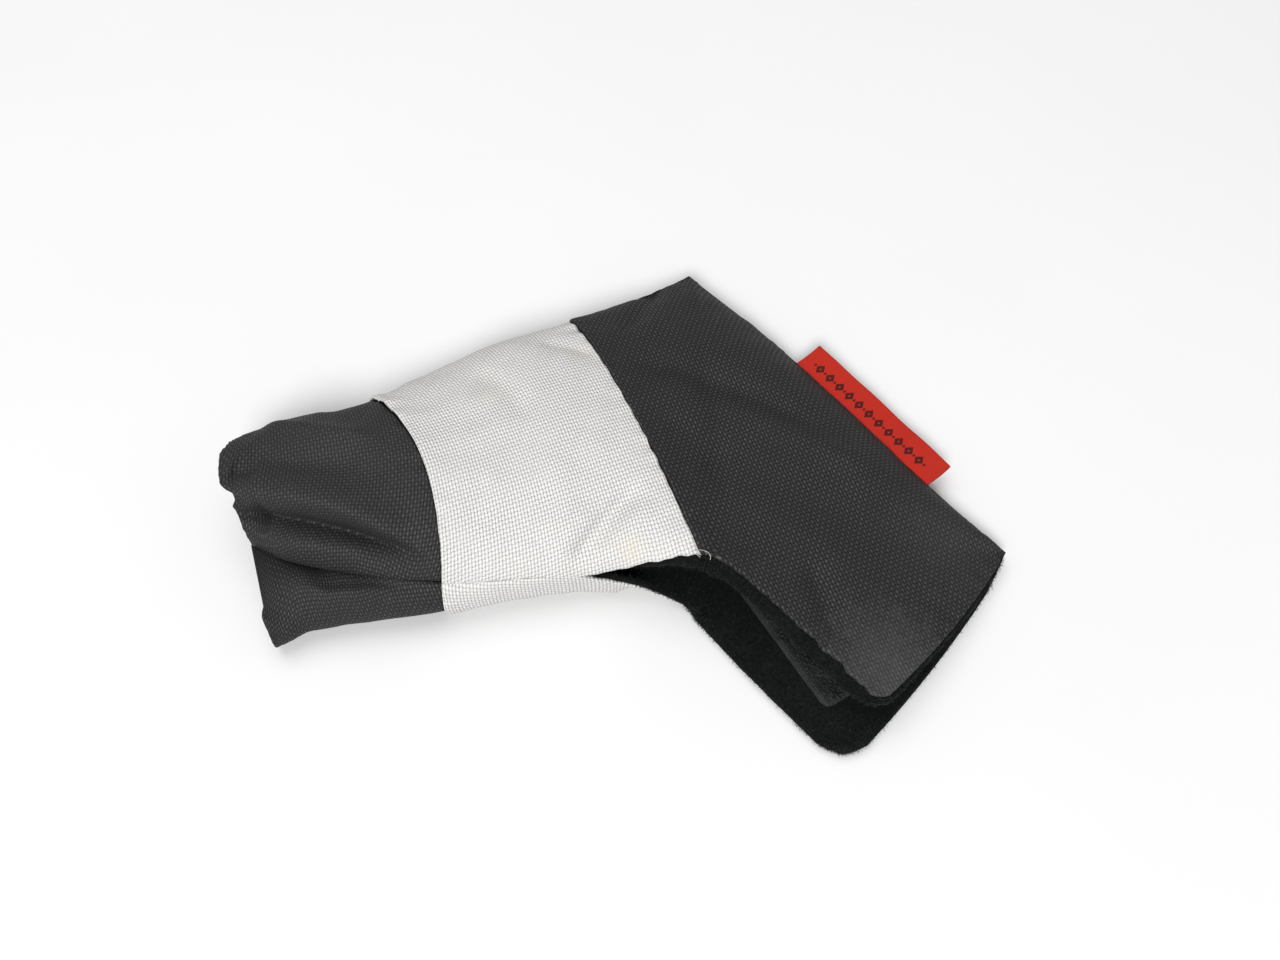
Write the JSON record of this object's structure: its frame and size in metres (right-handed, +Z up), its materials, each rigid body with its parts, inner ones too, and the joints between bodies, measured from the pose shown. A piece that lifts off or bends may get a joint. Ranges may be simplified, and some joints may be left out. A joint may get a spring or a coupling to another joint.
{
  "type": "putter head cover",
  "caption": "Padded L-shaped fabric cover for a golf putter head, with a tubular neck, a fleece-lined head pocket and a slit edge closed by hook and loop tape.",
  "frame": {"origin": "centre of the bounding box in plan, at the height of the face the cover lies on", "axes": "+X along the cover from the neck's mouth to the toe of the head pocket, +Y from the slit side towards the sole seam's heel, +Z up from the table the cover lies on"},
  "size_m": [0.2348, 0.1624, 0.0307],
  "materials": {
    "black_canvas": "coarse plain-weave canvas, matt",
    "silver_canvas": "coarse plain-weave canvas, silver grey, slight sheen",
    "black_fleece": "short napped fleece with a fuzzy edge",
    "hook_and_loop": "woven hook and loop tape",
    "red_ribbon": "satin-edged woven ribbon",
    "black_thread": "twisted sewing thread"
  },
  "bodies": {
    "cover": {"cuff_front": "black_canvas", "cuff_back": "black_canvas", "band_front": "silver_canvas", "band_back": "silver_canvas", "head_front_panel": "black_canvas", "head_back_panel": "black_canvas", "lining_front": "black_fleece", "lining_back": "black_fleece", "loop_tape": "hook_and_loop", "loop_tape_stitching": "black_thread", "side_seam_thread": "black_thread", "top_seam_thread": "black_thread", "sole_seam_thread": "black_thread", "mouth_hem_thread": "black_thread"},
    "toe_flap": {"head_front_flap": "black_canvas", "lining_front_flap": "black_fleece", "hook_tape": "hook_and_loop", "hook_tape_stitching": "black_thread"},
    "label": {"woven_label": "red_ribbon"}
  },
  "joints": [
    {"name": "flap_fold", "type": "hinge", "parent": "cover", "child": "toe_flap", "pos_m": [0.02549, -0.03143, 0.0253], "axis": [-0.9729, -0.1047, 0.2062], "range_deg": [0, 120]},
    {"name": "label_flex", "type": "hinge", "parent": "cover", "child": "label", "pos_m": [0.07839, 0.02417, 0.00675], "axis": [-0.6371, 0.7707, 0], "range_deg": [-60, 60], "stiffness_Nm_per_rad": 0.002}
  ]
}
